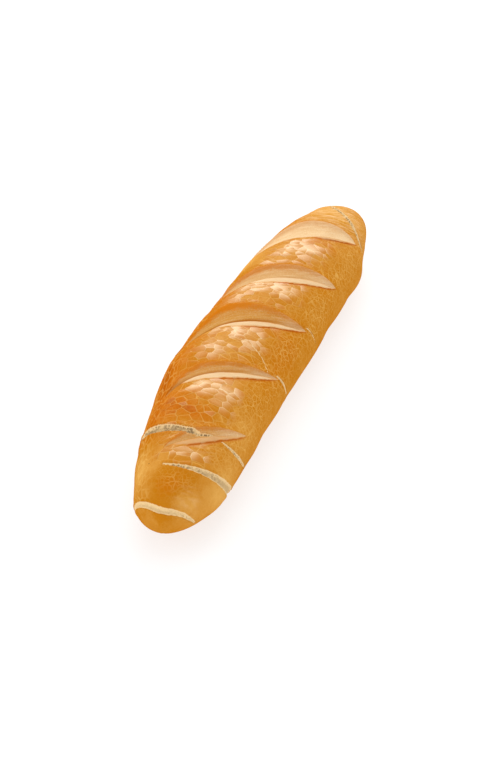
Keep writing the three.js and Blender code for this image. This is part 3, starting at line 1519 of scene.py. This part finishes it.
SCORES = (
    Score(-0.1525, 0.0105, 14.0, -20.0, 70.0, 1.7, 0.0008, 0.0046, 0.0006,
          lip_left=-10.0, paleness=0.15, shade=0.1, left_slant=0.7, cream=0.5),
    Score(-0.0880, 0.0150, -12.0, -44.0, 69.0, 1.5, 0.0014, 0.0056, 0.0009,
          lip_left=-26.0, paleness=0.12, shade=0.6, shade_reach=0.0075),
    Score(-0.0265, 0.0300, -25.0, -62.0, 66.0, 1.3, 0.0016, 0.0053, 0.0009,
          lip_left=-22.0, paleness=0.03, shade=0.95, shade_reach=0.0090),
    Score(0.0360, 0.0220, -25.0, -80.0, 68.0, 2.2, 0.0016, 0.0070, 0.0009,
          lip_left=-20.0, paleness=0.35, shade=0.5),
    Score(0.1045, 0.0310, -25.0, -80.0, 61.0, 2.0, 0.0016, 0.0024, 0.0005,
          lip_left=5.0, paleness=0.85, shade=0.05, cream=0.7),
)

CRACKS = (
    Crack((-0.134, -88.0), (-0.143, -20.0), (-0.141, 14.0),
          (0.0045, 0.0084, 0.0036), 0.0013, (0.6, 1.0)),
    Crack((-0.134, -88.0), (-0.1325, -101.0), (-0.130, -114.0),
          (0.0045, 0.0030, 0.0006), 0.0011, (0.6, 0.2)),
    Crack((-0.143, 15.0), (-0.1405, 21.0), (-0.138, 32.0),
          (0.0012, 0.0038, 0.0010), 0.0008, (1.0, 1.0)),
    Crack((-0.171, -12.0), (-0.173, 45.0), (-0.148, 108.0),
          (0.0012, 0.0046, 0.0064), 0.0009, (1.0, 0.1)),
    Crack((-0.148, 108.0), (-0.144, 120.0), (-0.141, 134.0),
          (0.0064, 0.0048, 0.0008), 0.0008, (0.1, 0.1)),
    Crack((-0.187, -100.0), (-0.208, 10.0), (-0.184, 113.0),
          (0.0022, 0.0058, 0.0014), 0.0010, (0.0, 0.35)),
    Crack((-0.1385, 46.0), (-0.1375, 72.0), (-0.126, 97.0),
          (0.0012, 0.0030, 0.0022), 0.0009, (0.8, 0.5)),
    Crack((0.178, -10.0), (0.150, 40.0), (0.140, 82.0),
          (0.0020, 0.0060, 0.0020), 0.0009, (0.9, 0.6)),
    Crack((-0.051, 67.0), (-0.047, 78.0), (-0.040, 104.0),
          (0.0012, 0.0030, 0.0008), 0.0008, (0.6, 0.3)),
    Crack((0.010, 65.0), (0.013, 72.0), (0.016, 90.0),
          (0.0010, 0.0014, 0.0006), 0.0005, (0.4, 0.4)),
    Crack((-0.044, -4.0), (-0.046, 34.0), (-0.057, 55.0),
          (0.0004, 0.0011, 0.0008), 0.0003, (0.0, 0.0)),
)

# Where the loaf swelled or stayed slim, in metres.
SWELLINGS = (
    Spot(-0.188, -70.0, 0.014, 60.0, 0.0020),
    Spot(-0.195, 95.0, 0.010, 50.0, -0.0018),
    Spot(-0.160, 112.0, 0.012, 35.0, 0.0013),
    Spot(-0.118, 112.0, 0.014, 35.0, -0.0007),
    Spot(-0.085, 112.0, 0.014, 35.0, -0.0009),
    Spot(-0.052, 112.0, 0.012, 35.0, 0.0006),
    Spot(0.055, 112.0, 0.020, 35.0, -0.0013),
    Spot(0.124, 105.0, 0.014, 40.0, 0.0024),
    Spot(0.188, 80.0, 0.012, 60.0, 0.0018),
    Spot(0.184, -60.0, 0.014, 35.0, 0.0014),
    Spot(0.085, -60.0, 0.018, 25.0, 0.0011),
    Spot(0.030, -60.0, 0.010, 25.0, -0.0005),
    Spot(-0.062, -60.0, 0.016, 25.0, 0.0012),
    Spot(-0.100, -60.0, 0.012, 25.0, -0.0007),
)

# Where the crust baked darker, or paler where the amount is negative.
BAKES = (
    Spot(-0.169, -57.0, 0.020, 25.0, -0.45),
    Spot(-0.186, -4.0, 0.007, 26.0, 0.20),
    Spot(-0.188, 50.0, 0.007, 28.0, -0.18),
    Spot(-0.160, 88.0, 0.018, 28.0, -0.28),
    Spot(-0.116, 63.0, 0.015, 18.0, -0.12),
    Spot(-0.126, 8.0, 0.009, 18.0, 0.25),
    Spot(0.160, 0.0, 0.028, 45.0, -0.20),
    Spot(0.008, -36.0, 0.018, 14.0, 0.18),
    Spot(-0.061, -31.0, 0.018, 12.0, 0.18),
    Spot(-0.197, 20.0, 0.005, 70.0, 0.15),
    Spot(-0.120, -24.0, 0.026, 24.0, 0.32),
    Spot(-0.125, -55.0, 0.020, 20.0, 0.15),
    Spot(-0.122, -8.0, 0.009, 18.0, 0.15),
    Spot(-0.085, -50.0, 0.022, 16.0, 0.22),
    Spot(-0.030, 62.0, 0.030, 20.0, 0.20),
    Spot(0.072, -50.0, 0.022, 18.0, -0.45),
    Spot(-0.180, 12.0, 0.009, 26.0, 0.22),
    Spot(-0.180, 20.0, 0.026, 110.0, -0.13),
)

# Where the crust flaked into plates of paler colour that also carry a painted highlight.
FLAKE_SHEENS = (
    Spot(0.084, 9.0, 0.014, 24.0, 1.25),
    Spot(0.060, -12.0, 0.013, 20.0, 0.4),
    Spot(0.027, 6.0, 0.012, 28.0, 1.35),
    Spot(0.008, -20.0, 0.014, 14.0, 0.6),
    Spot(-0.037, 8.0, 0.011, 26.0, 0.75),
    Spot(-0.057, -6.0, 0.012, 18.0, 0.6),
    Spot(-0.050, 28.0, 0.011, 14.0, 0.45),
    Spot(-0.098, 12.0, 0.009, 28.0, 1.0),
    Spot(-0.103, -2.0, 0.009, 16.0, 0.5),
    Spot(-0.112, 26.0, 0.009, 14.0, 0.35),
    Spot(-0.160, 12.0, 0.006, 28.0, 0.7),
    Spot(0.150, 2.0, 0.018, 18.0, 0.4),
)

# Where pale wisps run beside the scores.
WISPS = (
    Spot(0.160, 10.0, 0.032, 55.0, 0.95),
    Spot(-0.150, 5.0, 0.008, 25.0, 0.6),
    Spot(-0.186, 52.0, 0.007, 26.0, 0.22),
)

# Where the smooth crust of the slim end crackled into a fine net.
NETS = (
    Spot(-0.181, 14.0, 0.009, 38.0, 0.95),
    Spot(-0.170, -40.0, 0.012, 24.0, 0.4),
)

# Places along X and degrees round of the dark specks.
SPECKS = ((0.174, -60.0), (0.1865, -49.0), (0.028, 23.0), (-0.168, -38.0))


def main() -> None:
    """Builds the loaf, dresses it and sets up the studio."""
    logging.basicConfig(level=logging.INFO)
    form, crackle = LoafForm.in_box(*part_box("baguette")), Crackle()
    crust = Crust(form, SCORES, CRACKS, SWELLINGS, BAKES, FLAKE_SHEENS, WISPS, NETS).build()
    crackle.press_into(crust)
    along, turn = np.array(SPECKS).T
    specks = tuple(tuple(place) for place in form.surface(along, np.radians(turn)))
    CrustFinish(crackle, specks).dress(crust)
    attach(crust, "root")
    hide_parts("baguette")
    LOG.info("%s: %d faces", crust.name, len(crust.data.polygons))
    studio = Studio()
    target = (CAD_BOX[0] + CAD_BOX[1]) / 2
    studio.lay_floor()
    studio.light(target)
    studio.set_camera(target)


if __name__ == "__main__":
    main()
